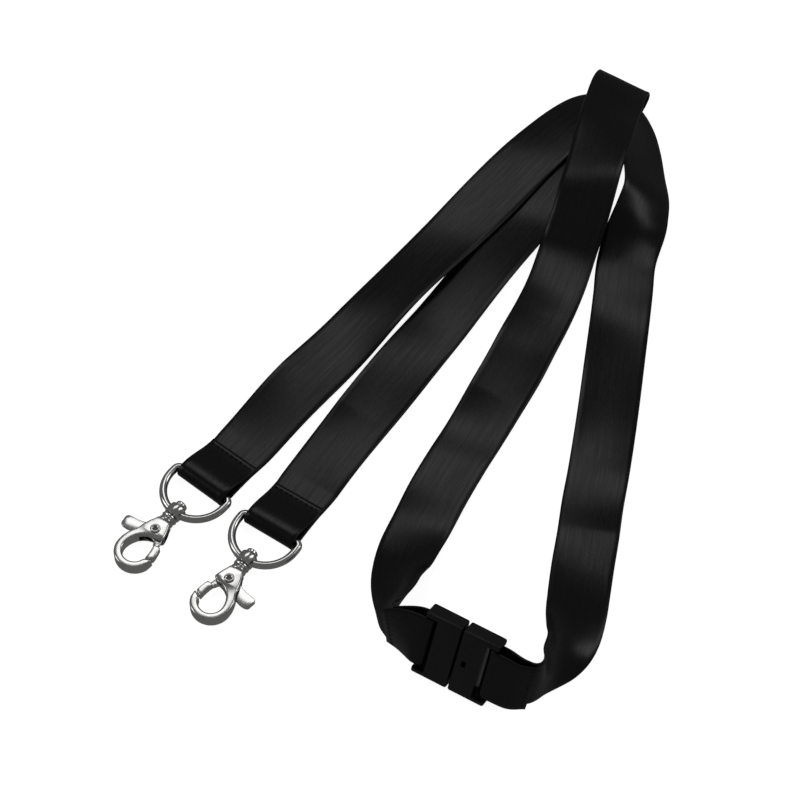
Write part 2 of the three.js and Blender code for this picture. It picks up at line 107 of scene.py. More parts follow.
# Breakaway buckle, in millimetres, along its own X from the split
BUCKLE_CENTRE = (18.0, -101.5, 12.6)
BUCKLE_HEADING = -30.0
BUCKLE_LEAN = 65.0
BUCKLE_HALF_WIDTH = 12.0
BUCKLE_HALF_THICK = 3.1
SPLIT_GAP = 0.25
BODY_END = 8.4
BAR_START = 10.4
BAR_END = 12.0
RAIL_END = 12.8
RAIL_INSIDE = 10.35
BAR_HALF_THICK = 1.2
POCKET_DEPTH = 6.8
POCKET_HALF_WIDTH = 9.2
POCKET_HALF_DEEP = 1.5
TONGUE_LENGTH = 6.0
WINDOW = (2.4, 3.9)

# The routes below are measured from a point near the middle of the lanyard; the first D-ring's bar
# says where that point is.
HOOK_A = {"bar": (-63.1, -33.9), "heading": 51.0, "flipped": True}
HOOK_B = {"bar": (-40.8, -50.7), "heading": 56.3, "flipped": False}
ORIGIN = Vector(JOINTS["ring_swing_a"]["pos_m"]) - Vector((*HOOK_A["bar"], BAR_HEIGHT)) * MM


# ---------------------------------------------------------------- camera, light and floor

VIEW_ELEVATION = math.radians(57)
VIEW_DISTANCE = 0.98684
AMBIENT = 0.12
FLOOR_GLOW = 0.90

# name, place in metres, size, watts; each faces the middle of the floor
SOFT_BOXES = [
    ("back_box", (0.0, 0.64, 1.05), (0.62, 0.36), 0.95),
    ("left_box", (-1.3, 0.1, 0.9), (0.4, 0.9), 2.0),
    ("right_box", (1.3, 0.2, 1.0), (0.4, 0.9), 2.0),
]


def camera():
    data = bpy.data.cameras.new("camera")
    data.lens = 135
    data.sensor_width = 36
    view = bpy.data.objects.new("camera", data)
    back = Vector((0, -math.cos(VIEW_ELEVATION), math.sin(VIEW_ELEVATION)))
    view.location = ORIGIN + back * VIEW_DISTANCE
    view.rotation_euler = (math.pi / 2 - VIEW_ELEVATION, 0, 0)
    bpy.context.collection.objects.link(view)
    bpy.context.scene.camera = view


def soft_box(name, place, size, power):
    data = bpy.data.lights.new(name, "AREA")
    data.shape = "RECTANGLE"
    data.size, data.size_y = size
    data.energy = power
    lamp = bpy.data.objects.new(name, data)
    lamp.location = place
    lamp.rotation_euler = (-Vector(place)).to_track_quat("-Z", "Y").to_euler()
    bpy.context.collection.objects.link(lamp)


def studio():
    scene = bpy.context.scene
    scene.view_settings.view_transform = "Standard"
    scene.view_settings.look = "None"
    world = bpy.data.worlds.new("studio")
    world.use_nodes = True
    ambient = world.node_tree.nodes["Background"]
    ambient.inputs["Color"].default_value = (1, 1, 1, 1)
    ambient.inputs["Strength"].default_value = AMBIENT
    scene.world = world
    for box in SOFT_BOXES:
        soft_box(*box)

    bpy.ops.object.select_all(action="DESELECT")
    bpy.ops.mesh.primitive_plane_add(size=6, location=(0, 0, 0))
    floor = bpy.context.object
    floor.name = "floor"
    pale = bpy.data.materials.new("pale_floor")
    pale.use_nodes = True
    shader = pale.node_tree.nodes["Principled BSDF"]
    shader.inputs["Base Color"].default_value = (0.86, 0.86, 0.86, 1)
    shader.inputs["Roughness"].default_value = 0.9
    shader.inputs["Specular IOR Level"].default_value = 0.0
    shader.inputs["Emission Color"].default_value = (1, 1, 1, 1)
    shader.inputs["Emission Strength"].default_value = FLOOR_GLOW
    floor.data.materials.append(pale)
    floor.visible_glossy = False


# ---------------------------------------------------------------- finishes

def node_group(name, inputs, outputs):
    """An empty shader node group with the given sockets, as (name, kind, value)."""
    group = bpy.data.node_groups.new(name, "ShaderNodeTree")
    for label, kind, value in inputs:
        socket = group.interface.new_socket(label, in_out="INPUT", socket_type=kind)
        if value is not None:
            socket.default_value = value
    for label, kind in outputs:
        group.interface.new_socket(label, in_out="OUTPUT", socket_type=kind)
    entry = group.nodes.new("NodeGroupInput")
    leave = group.nodes.new("NodeGroupOutput")
    return group, entry, leave


def math_node(tree, operation, a, b=None):
    node = tree.nodes.new("ShaderNodeMath")
    node.operation = operation
    for socket, value in zip(node.inputs, (a, b)):
        if isinstance(value, (int, float)):
            socket.default_value = value
        elif value is not None:
            tree.links.new(value, socket)
    return node.outputs[0]


def noise(tree, vector, scale, detail):
    node = tree.nodes.new("ShaderNodeTexNoise")
    node.inputs["Detail"].default_value = detail
    if isinstance(scale, (int, float)):
        node.inputs["Scale"].default_value = scale
    else:
        tree.links.new(scale, node.inputs["Scale"])
    tree.links.new(vector, node.inputs["Vector"])
    return node.outputs["Fac"]


def stretched(tree, vector, scale):
    node = tree.nodes.new("ShaderNodeMapping")
    node.inputs["Scale"].default_value = scale
    tree.links.new(vector, node.inputs["Vector"])
    return node.outputs["Vector"]


def weave_group():
    """Satin weave on a ribbon's own across and along lengths, in metres: fine picks over lengthwise
    warp streaks."""
    group, entry, leave = node_group(
        "satin_weave",
        [("Vector", "NodeSocketVector", None), ("Pick Spacing", "NodeSocketFloat", 0.00042)],
        [("Height", "NodeSocketFloat"), ("Streak", "NodeSocketFloat")])
    vector = entry.outputs["Vector"]
    split = group.nodes.new("ShaderNodeSeparateXYZ")
    group.links.new(vector, split.inputs[0])
    turns = math_node(group, "DIVIDE", 2 * math.pi, entry.outputs["Pick Spacing"])
    across = math_node(group, "MULTIPLY", split.outputs["X"], turns)
    along = math_node(group, "MULTIPLY", split.outputs["Y"], turns)
    warp = math_node(group, "SINE", across)
    stagger = math_node(group, "ADD", math_node(group, "MULTIPLY", across, 0.4), along)
    weft = math_node(group, "SINE", stagger)
    picks = math_node(group, "MULTIPLY", warp, weft)
    yarn = noise(group, stretched(group, vector, (3200, 260, 1)), 1.0, 2.0)
    height = math_node(group, "ADD", math_node(group, "MULTIPLY", picks, 0.25), yarn)
    long_streak = noise(group, stretched(group, vector, (900, 16, 1)), 1.0, 3.0)
    short_streak = noise(group, stretched(group, vector, (2600, 90, 1)), 1.0, 2.0)
    streak = math_node(group, "MULTIPLY", math_node(group, "ADD", long_streak, short_streak), 0.5)
    group.links.new(height, leave.inputs["Height"])
    group.links.new(streak, leave.inputs["Streak"])
    return group


def grain_group():
    """Fine surface grain in the piece's own space."""
    group, entry, leave = node_group(
        "fine_grain",
        [("Vector", "NodeSocketVector", None), ("Size", "NodeSocketFloat", 0.001)],
        [("Grain", "NodeSocketFloat"), ("Cloud", "NodeSocketFloat")])
    fine = math_node(group, "DIVIDE", 1.0, entry.outputs["Size"])
    coarse = math_node(group, "MULTIPLY", fine, 0.09)
    group.links.new(noise(group, entry.outputs["Vector"], fine, 3.0), leave.inputs["Grain"])
    group.links.new(noise(group, entry.outputs["Vector"], coarse, 3.0), leave.inputs["Cloud"])
    return group


def placed_group(tree, group, **values):
    node = tree.nodes.new("ShaderNodeGroup")
    node.node_tree = group
    for label, value in values.items():
        socket = node.inputs[label.replace("_", " ").title()]
        if isinstance(value, (int, float)):
            socket.default_value = value
        else:
            tree.links.new(value, socket)
    return node


def ramp(tree, factor, stops):
    node = tree.nodes.new("ShaderNodeValToRGB")
    band = node.color_ramp
    band.elements[0].position, band.elements[0].color = stops[0][0], (*stops[0][1], 1)
    band.elements[1].position, band.elements[1].color = stops[-1][0], (*stops[-1][1], 1)
    for position, colour in stops[1:-1]:
        band.elements.new(position).color = (*colour, 1)
    tree.links.new(factor, node.inputs["Fac"])
    return node.outputs["Color"]


def spread(tree, factor, low, high):
    node = tree.nodes.new("ShaderNodeMapRange")
    node.inputs["From Min"].default_value = 0.3
    node.inputs["From Max"].default_value = 0.7
    node.inputs["To Min"].default_value = low
    node.inputs["To Max"].default_value = high
    tree.links.new(factor, node.inputs["Value"])
    return node.outputs["Result"]


def bumped(tree, height, strength, distance, shader):
    node = tree.nodes.new("ShaderNodeBump")
    node.inputs["Strength"].default_value = strength
    node.inputs["Distance"].default_value = distance
    tree.links.new(height, node.inputs["Height"])
    tree.links.new(node.outputs["Normal"], shader.inputs["Normal"])


def material(name):
    made = bpy.data.materials.new(name)
    made.use_nodes = True
    tree = made.node_tree
    place = tree.nodes.new("ShaderNodeTexCoord")
    return made, tree, tree.nodes["Principled BSDF"], place


def satin_ribbon(weave):
    made, tree, shader, place = material("satin_ribbon")
    cloth = placed_group(tree, weave, vector=place.outputs["UV"])
    streak = cloth.outputs["Streak"]
    colour = ramp(tree, streak, [(0.3, (0.0010, 0.0010, 0.0011)), (0.7, (0.0030, 0.0030, 0.0032))])
    tree.links.new(colour, shader.inputs["Base Color"])
    tree.links.new(spread(tree, streak, 0.36, 0.20), shader.inputs["Roughness"])
    shader.inputs["Specular IOR Level"].default_value = 0.35
    shader.inputs["Sheen Weight"].default_value = 0.01
    shader.inputs["Sheen Roughness"].default_value = 0.4
    bumped(tree, cloth.outputs["Height"], 0.3, 0.00003, shader)
    return made


def sewing_thread(grain):
    made, tree, shader, place = material("sewing_thread")
    twist = placed_group(tree, grain, vector=place.outputs["Object"], size=0.0003)
    colour = ramp(tree, twist.outputs["Grain"], [(0.3, (0.0012,) * 3), (0.7, (0.004,) * 3)])
    tree.links.new(colour, shader.inputs["Base Color"])
    shader.inputs["Specular IOR Level"].default_value = 0.25
    tree.links.new(spread(tree, twist.outputs["Cloud"], 0.6, 0.75), shader.inputs["Roughness"])
    bumped(tree, twist.outputs["Grain"], 0.5, 0.00005, shader)
    return made


def nickel_plate(grain):
    made, tree, shader, place = material("nickel_plate")
    cast = placed_group(tree, grain, vector=place.outputs["Object"], size=0.0005)
    colour = ramp(tree, cast.outputs["Cloud"], [(0.3, (0.70, 0.695, 0.685)), (0.7, (0.80, 0.795, 0.785))])
    tree.links.new(colour, shader.inputs["Base Color"])
    shader.inputs["Metallic"].default_value = 1.0
    tree.links.new(spread(tree, cast.outputs["Cloud"], 0.13, 0.20), shader.inputs["Roughness"])
    bumped(tree, cast.outputs["Grain"], 0.05, 0.00003, shader)
    return made


def spring_wire(grain):
    made, tree, shader, place = material("spring_wire")
    drawn = placed_group(tree, grain, vector=place.outputs["Object"], size=0.0003)
    colour = ramp(tree, drawn.outputs["Cloud"], [(0.3, (0.42, 0.41, 0.40)), (0.7, (0.56, 0.55, 0.54))])
    tree.links.new(colour, shader.inputs["Base Color"])
    shader.inputs["Metallic"].default_value = 1.0
    tree.links.new(spread(tree, drawn.outputs["Grain"], 0.25, 0.4), shader.inputs["Roughness"])
    return made


def moulded_acetal(grain):
    made, tree, shader, place = material("moulded_acetal")
    skin = placed_group(tree, grain, vector=place.outputs["Object"], size=0.00025)
    colour = ramp(tree, skin.outputs["Cloud"], [(0.3, (0.0016,) * 3), (0.7, (0.0028,) * 3)])
    tree.links.new(colour, shader.inputs["Base Color"])
    tree.links.new(spread(tree, skin.outputs["Cloud"], 0.34, 0.44), shader.inputs["Roughness"])
    shader.inputs["Specular IOR Level"].default_value = 0.45
    bumped(tree, skin.outputs["Grain"], 0.15, 0.00003, shader)
    return made


# ---------------------------------------------------------------- ribbon

def heading_vector(degrees):
    return np.array([math.cos(math.radians(degrees)), math.sin(math.radians(degrees)), 0.0])


def across_of(azimuth, lean):
    level = math.cos(math.radians(lean)) * heading_vector(azimuth)
    return level + np.array([0, 0, math.sin(math.radians(lean))])


def curve_through(points, per_stretch):
    """Points on a centripetal Catmull-Rom curve, so many to each stretch between two stations."""
    points = np.asarray(points, float)
    ends = [2 * points[0] - points[1]], [2 * points[-1] - points[-2]]
    run = np.vstack([ends[0], points, ends[1]])
    made = []
    for a, b, c, d in zip(run, run[1:], run[2:], run[3:]):
        k0, k1, k2 = (max(np.linalg.norm(q - p), 1e-6) ** 0.5 for p, q in ((a, b), (b, c), (c, d)))
        leave = ((b - a) / k0 - (c - a) / (k0 + k1) + (c - b) / k1) * k1
        arrive = ((c - b) / k1 - (d - b) / (k1 + k2) + (d - c) / k2) * k1
        for t in np.arange(per_stretch) / per_stretch:
            made.append(
                b + leave * t
                + (-3 * b + 3 * c - 2 * leave - arrive) * t ** 2
                + (2 * b - 2 * c + leave + arrive) * t ** 3)
    made.append(points[-1])
    return np.array(made)


def evenly(values, lengths, step):
    """The rows of a curve again, a fixed length apart."""
    count = int(round(lengths[-1] / step))
    wanted = np.linspace(0, lengths[-1], count + 1)
    return np.column_stack([np.interp(wanted, lengths, column) for column in values.T])


def unit_rows(rows):
    return rows / np.linalg.norm(rows, axis=1)[:, None]


def eased(rows, passes):
    """Rows averaged with their neighbours, to take out small kinks; the two ends stay."""
    for _ in range(passes):
        rows = rows.copy()
        rows[1:-1] = (rows[:-2] + 2 * rows[1:-1] + rows[2:]) / 4
    return rows


def ribbon_frames(stations):
    """Along a ribbon: the length from its start, the middle, the direction across, its face, and its
    half width."""
    middle = curve_through([station[:3] for station in stations], STEPS_PER_STATION) * MM
    across = curve_through([across_of(*station[3:5]) for station in stations], STEPS_PER_STATION)
    # a station with no width of its own has the ribbon's full width
    widths = [[*station, RIBBON_WIDTH][5] for station in stations]
    wide = np.interp(np.arange(len(middle)) / STEPS_PER_STATION, np.arange(len(widths)), widths)
    steps = np.linalg.norm(np.diff(middle, axis=0), axis=1)
    lengths = np.concatenate([[0], np.cumsum(steps)])
    both = evenly(np.column_stack([middle, across, wide]), lengths, ROW_STEP)
    both[:, :3] = eased(both[:, :3], 3)
    both[:, 3:] = eased(both[:, 3:], 12)
    middle = both[:, :3] + np.array(ORIGIN)
    along = unit_rows(np.gradient(middle, axis=0))
    side = both[:, 3:6] - along * np.sum(both[:, 3:6] * along, axis=1)[:, None]
    side = unit_rows(side)
    travelled = np.concatenate([[0], np.cumsum(np.linalg.norm(np.diff(middle, axis=0), axis=1))])
    return travelled, middle, side, np.cross(along, side), both[:, 6] / 2


def ribbon_section(columns=14, corner_points=4):
    """A ribbon's cut end as (across, out) in halves of its width and thickness: flat faces, a
    slightly thicker selvedge and round edges."""
    flat = np.linspace(-1, 1, columns + 1) * (1 - RIBBON_THICK / RIBBON_WIDTH)
    top = [(u, 1.0 + 0.12 * (abs(u) > 0.9)) for u in flat]
    turn = np.linspace(90, -90, corner_points + 2)[1:-1]
    reach = 1 - RIBBON_THICK / RIBBON_WIDTH
    right = [(reach + RIBBON_THICK / RIBBON_WIDTH * math.cos(math.radians(a)),
              math.sin(math.radians(a))) for a in turn]
    bottom = [(u, -v) for u, v in reversed(top)]
    left = [(-u, v) for u, v in reversed(right)]
    return top + right + bottom + left


def ribbon(name, stations, stitches, first_turn):
    """A woven ribbon as one closed skin. Each stitch in stitches is (length from the start, face
    that is pulled in), where the sewing draws the cloth down. The first turn is the share of a
    whole twist that the ribbon starts with."""
    lengths, middle, side, face, half = ribbon_frames(stations)
    section = ribbon_section()
    size = len(section)
    rows = len(lengths)
    ripple = EDGE_RIPPLE * (np.sin(lengths / 0.031) + np.sin(lengths / 0.0127 + 1.3))
    # the slow twist fades out towards the sewn ends, and the lift keeps the low edge off the floor
    loose = np.clip((lengths - STILL_AT_HOOK) / TWIST_FADE, 0, 1)
    loose = loose * np.clip((lengths[-1] - STILL_AT_BUCKLE - lengths) / TWIST_FADE, 0, 1)
    twist = TWIST * loose * np.sin(2 * math.pi * (lengths / TWIST_LENGTH + first_turn))
    swell = SWELL * loose * (1 + np.sin(lengths / SWELL_LENGTH))
    lift = (np.hypot(twist, TWIST_SOFTENING * loose) * half + swell) * face[:, 2]
    points = np.empty((rows, size, 3))
    for k, (u, v) in enumerate(section):
        out = v * RIBBON_THICK / 2 + ripple * u * abs(u) + twist * u * half + lift
        for at, pulled in stitches:
            pinch = np.exp(-((lengths - at) / (0.7 * MM)) ** 2)
            pucker = 0.16 + 0.07 * math.cos(u * 9 * math.pi)
            out -= pinch * pucker * MM * (1 if v * pulled > 0 else 0) * pulled
        points[:, k] = middle + side * (u * half)[:, None] + face * out[:, None]
    faces = []
    for row in range(rows - 1):
        for k in range(size):
            after = (k + 1) % size
            faces.append((row * size + k, (row + 1) * size + k,
                          (row + 1) * size + after, row * size + after))
    faces.append(tuple(range(size)))
    faces.append(tuple(reversed(range((rows - 1) * size, rows * size))))
    mesh = bpy.data.meshes.new(name)
    mesh.from_pydata(points.reshape(-1, 3).tolist(), [], faces)
    mesh.validate()
    layer = mesh.uv_layers.new(name="ribbon_uv")
    corner = np.empty(len(mesh.loops), int)
    mesh.loops.foreach_get("vertex_index", corner)
    across = np.array([u for u, _ in section]) * RIBBON_WIDTH / 2
    uv = np.column_stack([across[corner % size], lengths[corner // size]])
    layer.data.foreach_set("uv", uv.ravel())
    mesh.shade_smooth()
    piece = bpy.data.objects.new(name, mesh)
    bpy.context.collection.objects.link(piece)
    recalculate(piece)
    return piece


def hook_loop(hook):
    """The end of a strap, folded back over a D-ring's bar and sewn down on top of itself."""
    x, y = hook["bar"]
    ahead = heading_vector(hook["heading"])
    profile = [(TAIL_LENGTH, FLOOR_LAYER + 1.25), (11.5, FLOOR_LAYER + 1.75), (7, 4.0), (3, 5.3)]
    for turn in (80, 125, 180, 235, 275):
        profile.append((LOOP_RADIUS * math.cos(math.radians(turn)),
                        BAR_HEIGHT + LOOP_RADIUS * math.sin(math.radians(turn))))
    profile += [(5, FLOOR_LAYER), (12, FLOOR_LAYER)]
    return [(x + run * ahead[0], y + run * ahead[1], z, hook["heading"] - 90, 0, SEWN_WIDTH)
            for run, z in profile]


def buckle_axes():
    along = heading_vector(BUCKLE_HEADING)
    up = across_of(BUCKLE_HEADING + 90, BUCKLE_LEAN)
    return along, up, np.cross(along, up)


# Round a buckle bar, as distances from the split and out of the face: in behind the bar, through the
# slot, and back over the front.
BAR_ROUTE = [(15, -2.1), (12, -2.15), (10.2, -1.85), (9.3, 0), (10.2, 1.85), (12, 2.15), (15, 2.1)]


def buckle_loop(side):
    along, _, out = buckle_axes()
    made = []
    for run, depth in BAR_ROUTE:
        point = np.array(BUCKLE_CENTRE) + side * run * along + depth * out
        made.append((*point, BUCKLE_HEADING + 90, BUCKLE_LEAN, SEWN_WIDTH))
    return made


# A station is x, y, z, the direction across the ribbon as degrees round Z and above level, and the
# ribbon's width where it is drawn in.
# Strap A: from its hook to the turn at the far end, round it with the inner edge raised, and down
# the right-hand side to the socket half of the buckle.
STRAP_A = [
    *hook_loop(HOOK_A),
    (-50.3, -18, 0.6, -39, 0),
    (-37.5, -1.6, 0.9, -39, 0),
    (-17.3, 23, 0.8, -39.5, 0),
    (2.6, 47.4, 1.6, -39.8, 3),
    (24.5, 72.9, 1.95, -40, 2.5),
    (46, 98.4, 2.5, -42, 4),
    (58, 111.2, 3.2, -48, 7),
    (65.1, 116.2, 3.9, -65, 10),
    (70.3, 117, 4.4, -92, 14),
    (75.2, 115.2, 5.1, -124, 19),
    (79, 109.2, 6.2, -152, 27),
    (81.6, 100.2, 7.2, -168, 34),
    (83.3, 89.6, 7.7, -177, 40),
    (83.9, 79.3, 7.5, 178, 40),
    (81.8, 71.1, 6, 171, 31),
    (78.7, 62.4, 2.9, 166, 12),
    (76.3, 53, 1, 167, 1),
    (74.8, 40.5, 0.6, 170, 0),
    (71.4, 16.5, 0.7, 171.5, 0),
    (67.9, -7.1, 1.2, 171, 0),
    (64, -30.2, 2.2, 170.5, 0),
    (61.75, -41.7, 2.2, 170, 0),
    (60, -52.6, 1.7, 170, 0),
    (58, -63.6, 2, 171, 4),
    (56.6, -72.5, 2.9, 178, 10),
    (55.3, -81, 4.2, -173, 17),
    (53.2, -91, 6.5, -176, 32),
    (49.9, -98.5, 8.8, -171, 49),
    (46.2, -104.3, 10.5, -162, 66),
    (44.7, -107.6, 11, -150, 81, SEWN_WIDTH),
    (42.6, -109.9, 11.3, 85, 82, SEWN_WIDTH),
    (39.6, -110.9, 11.6, 68, 75, SEWN_WIDTH),
    (36, -110.1, 12, 62, 69, SEWN_WIDTH),
    *buckle_loop(1),
    (34.6, -112.9, 13.1, 60, 68, SEWN_WIDTH),
    (38.9, -112.9, 12.4, 66, 74, SEWN_WIDTH),
    (40.3, -113, 12.1, 68, 75, SEWN_WIDTH),
]

# Strap B: from its hook straight up to the fold at the far end, back over the top of strap A, and
# down to the plug half of the buckle.
STRAP_B = [
    *hook_loop(HOOK_B),
    (-29.7, -34, 0.6, -34, 0),
    (-19.2, -18, 0.7, -34.5, 0),
    (-1, 8.4, 0.6, -34.5, 0),
    (17.2, 34.9, 0.6, -34.5, 0),
    (34.1, 59.5, 0.6, -34, 0),
    (50, 84, 0.6, -33, 0),
    (64, 106, 0.6, -33, 0),
    (77.1, 125.7, 0.7, -31, 0),
    (78.3, 127.8, 1.6, -30, 0),
    (78.8, 128.6, 4, -30, 0),
    (78.3, 127.6, 6.4, -27, 0),
    (76.8, 124.5, 7.6, -24, 0),
    (74, 114.5, 9.9, -18, 5),
    (71.2, 104, 12.8, -15, 9),
    (68.6, 94, 14.3, -15, 13),
    (66, 84.5, 14.1, -16, 11),
    (64.1, 78, 12.5, -17, 6),
    (61, 68.5, 8.2, -18, 2),
    (57.6, 60, 3, -20, 0),
    (52.8, 45.5, 1, -21, 0),
    (48, 33.2, 1.6, -23, 0),
    (42.5, 21.1, 2.2, -25, 0),
    (36.8, 9.2, 1.4, -27, 0),
    (24.3, -14.2, 1.2, -28, 0),
    (18.1, -25.7, 2.2, -28, 0),
    (12.2, -37.1, 2.2, -26, 0),
    (7, -48.3, 1.6, -24, 4),
    (2.9, -57.5, 2.5, -14, 9),
    (0.3, -66, 3.9, -5, 20),
    (-0.7, -72.5, 6, -3, 36),
    (-1, -78, 7.8, -2, 50),
    (-1.6, -82.5, 9.2, -3, 61),
    (-2.3, -86.3, 10.2, -5, 73),
    (-2.6, -88.4, 10.5, 20, 85, SEWN_WIDTH),
    (-1, -89.9, 10.8, 50, 86, SEWN_WIDTH),
    (2.2, -91, 11.5, 60, 78, SEWN_WIDTH),
    *buckle_loop(-1),
    (0, -93, 12.2, 60, 77, SEWN_WIDTH),
    (-3.5, -90.8, 11.1, 60, 86, SEWN_WIDTH),
    (-4.7, -90.2, 11, 60, 88, SEWN_WIDTH),
]


# ---------------------------------------------------------------- modelling

def only(piece):
    bpy.ops.object.select_all(action="DESELECT")
    piece.select_set(True)
    bpy.context.view_layer.objects.active = piece


def recalculate(piece):
    only(piece)
    bpy.ops.object.mode_set(mode="EDIT")
    bpy.ops.mesh.select_all(action="SELECT")
    bpy.ops.mesh.remove_doubles(threshold=0.002 * MM)
    bpy.ops.mesh.normals_make_consistent(inside=False)
    bpy.ops.object.mode_set(mode="OBJECT")


def apply_modifier(piece, kind, **values):
    only(piece)
    modifier = piece.modifiers.new(kind.lower(), kind)
    for label, value in values.items():
        setattr(modifier, label, value)
    bpy.ops.object.modifier_apply(modifier=modifier.name)


def round_edges(piece, width, segments=3, angle=35):
    apply_modifier(piece, "BEVEL", width=width * MM, segments=segments,
                   limit_method="ANGLE", angle_limit=math.radians(angle))


def merge(piece, tool, operation):
    """Joins another solid to a piece, or cuts it away; the other solid is used up."""
    apply_modifier(piece, "BOOLEAN", operation=operation, object=tool, solver="EXACT")
    bpy.data.objects.remove(tool)


def smooth(piece, angle=32):
    only(piece)
    bpy.ops.object.shade_smooth_by_angle(angle=math.radians(angle))


def named(name):
    piece = bpy.context.object
    piece.name = piece.data.name = name
    return piece


def block(low, high):
    """A box between two corners, in millimetres."""
    bpy.ops.object.select_all(action="DESELECT")
    low, high = Vector(low) * MM, Vector(high) * MM
    bpy.ops.mesh.primitive_cube_add(size=1, location=(low + high) / 2)
    piece = bpy.context.object
    piece.scale = high - low
    bpy.ops.object.transform_apply(location=True, rotation=True, scale=True)
    return piece


def swept(steps, level, half_thick):
    """A flat bar grown from an upright plane. A step is x, y, heading, half width, and if it
    changes, half thickness, in millimetres and degrees."""
    steps = [(*step, half_thick)[:5] for step in steps]
    x, y, heading, wide, thick = steps[0]
    bpy.ops.object.select_all(action="DESELECT")
    bpy.ops.mesh.primitive_plane_add(
        size=2, location=Vector((x, y, level)) * MM, rotation=(0, math.pi / 2, math.radians(heading)))
    piece = bpy.context.object
    piece.scale = (thick * MM, wide * MM, 1)
    bpy.ops.object.transform_apply(location=True, rotation=True, scale=True)
    bpy.ops.object.mode_set(mode="EDIT")
    bpy.ops.mesh.select_all(action="SELECT")
    for after in steps[1:]:
        centre = Vector((after[0], after[1], level)) * MM
        travel = Vector((after[0] - x, after[1] - y, 0)) * MM
        bpy.ops.mesh.extrude_region_move(TRANSFORM_OT_translate={"value": travel})
        bpy.ops.transform.rotate(
            value=-math.radians(after[2] - heading), orient_axis="Z", center_override=centre)
        bpy.ops.transform.resize(
            value=(1, after[3] / wide, after[4] / thick), orient_type="GLOBAL",
            orient_matrix=Matrix.Rotation(math.radians(after[2]), 3, "Z"),
            orient_matrix_type="GLOBAL", center_override=centre)
        x, y, heading, wide, thick = after
    bpy.ops.object.mode_set(mode="OBJECT")
    recalculate(piece)
    return piece


def turned(profile, sides=32, hollow=False):
    """A turned piece about Z: a circle drawn out from one (radius, height) to the next. A hollow one
    comes back to where it started."""
    radius, height = profile[0]
    bpy.ops.object.select_all(action="DESELECT")
    bpy.ops.mesh.primitive_circle_add(
        vertices=sides, radius=radius * MM, location=(0, 0, height * MM),
        fill_type="NOTHING" if hollow else "NGON")
    piece = bpy.context.object
    bpy.ops.object.transform_apply(location=True, rotation=True, scale=True)
    bpy.ops.object.mode_set(mode="EDIT")
    bpy.ops.mesh.select_all(action="SELECT")
    for wide, level in profile[1:]:
        bpy.ops.mesh.extrude_region_move(
            TRANSFORM_OT_translate={"value": (0, 0, (level - height) * MM)})
        bpy.ops.transform.resize(
            value=(wide / radius, wide / radius, 1), center_override=(0, 0, level * MM))
        radius, height = wide, level
    bpy.ops.object.mode_set(mode="OBJECT")
    recalculate(piece)
    return piece


def set_down(piece, matrix):
    """Puts a piece in its place and writes the place into its mesh."""
    piece.matrix_world = matrix
    only(piece)
    bpy.ops.object.transform_apply(location=True, rotation=True, scale=True)


def copied(piece, name):
    twin = piece.copy()
    twin.data = piece.data.copy()
    twin.name = twin.data.name = name
    bpy.context.collection.objects.link(twin)
    return twin


def rod(radius, low, high, x, y, sides=28):
    """A plain pin along Z, used to drill with."""
    bpy.ops.object.select_all(action="DESELECT")
    bpy.ops.mesh.primitive_cylinder_add(
        vertices=sides, radius=radius * MM, depth=(high - low) * MM,
        location=Vector((x, y, (low + high) / 2)) * MM)
    piece = bpy.context.object
    bpy.ops.object.transform_apply(location=True, rotation=True, scale=True)
    return piece


# ---------------------------------------------------------------- D-ring

def spun(centre, axis, angle, steps):
    bpy.ops.mesh.spin(steps=steps, angle=angle, center=Vector(centre) * MM, axis=axis)


def pick_edges(piece, test):
    """Selects only the open edges whose middle passes the test, in millimetres."""
    bpy.ops.mesh.select_all(action="DESELECT")
    drawing = bmesh.from_edit_mesh(piece.data)
    for edge in drawing.edges:
        middle = (edge.verts[0].co + edge.verts[1].co) / 2 / MM
        if edge.is_boundary and test(middle):
            edge.select_set(True)
    bmesh.update_edit_mesh(piece.data)


def d_ring():
    """Round wire: half a circle with short straight sides, a tight corner at each end, and a
    straight bar between them, with the swivel boss cast on the far side."""
    corner = 1.7
    bpy.ops.object.select_all(action="DESELECT")
    bpy.ops.mesh.primitive_circle_add(
        vertices=20, radius=RING_WIRE * MM, location=Vector((RING_RADIUS, BOW_MIDDLE, 0)) * MM,
        rotation=(math.pi / 2, 0, 0))
    ring = bpy.context.object
    bpy.ops.object.transform_apply(location=True, rotation=True, scale=True)
    bpy.ops.object.mode_set(mode="EDIT")
    bpy.ops.mesh.select_all(action="SELECT")
    spun((0, BOW_MIDDLE, 0), (0, 0, -1), math.pi, 44)
    for side in (-1, 1):
        pick_edges(ring, lambda middle: middle.x * side > 0)
        bpy.ops.mesh.extrude_region_move(
            TRANSFORM_OT_translate={"value": (0, (corner - BOW_MIDDLE) * MM, 0)})
        spun((side * (RING_RADIUS - corner), corner, 0), (0, 0, side), math.pi / 2, 8)
    pick_edges(ring, lambda middle: True)
    bpy.ops.mesh.bridge_edge_loops()
    bpy.ops.object.mode_set(mode="OBJECT")
    recalculate(ring)
    boss = turned([
        (2.35, BOSS_START), (2.75, BOSS_START + 0.2), (2.9, BOSS_START + 0.6), (2.95, BOSS_START + 2.1),
        (2.9, BOSS_END - 0.6), (2.75, BOSS_END - 0.2), (2.4, BOSS_END)], 40)
    set_down(boss, Matrix.Rotation(-math.pi / 2, 4, "X"))
    merge(ring, boss, "UNION")
    bore = turned([(1.5, BOSS_START - 2), (1.5, BOSS_END + 2)], 28)
    set_down(bore, Matrix.Rotation(-math.pi / 2, 4, "X"))
    merge(ring, bore, "DIFFERENCE")
    return ring


# ---------------------------------------------------------------- snap hook

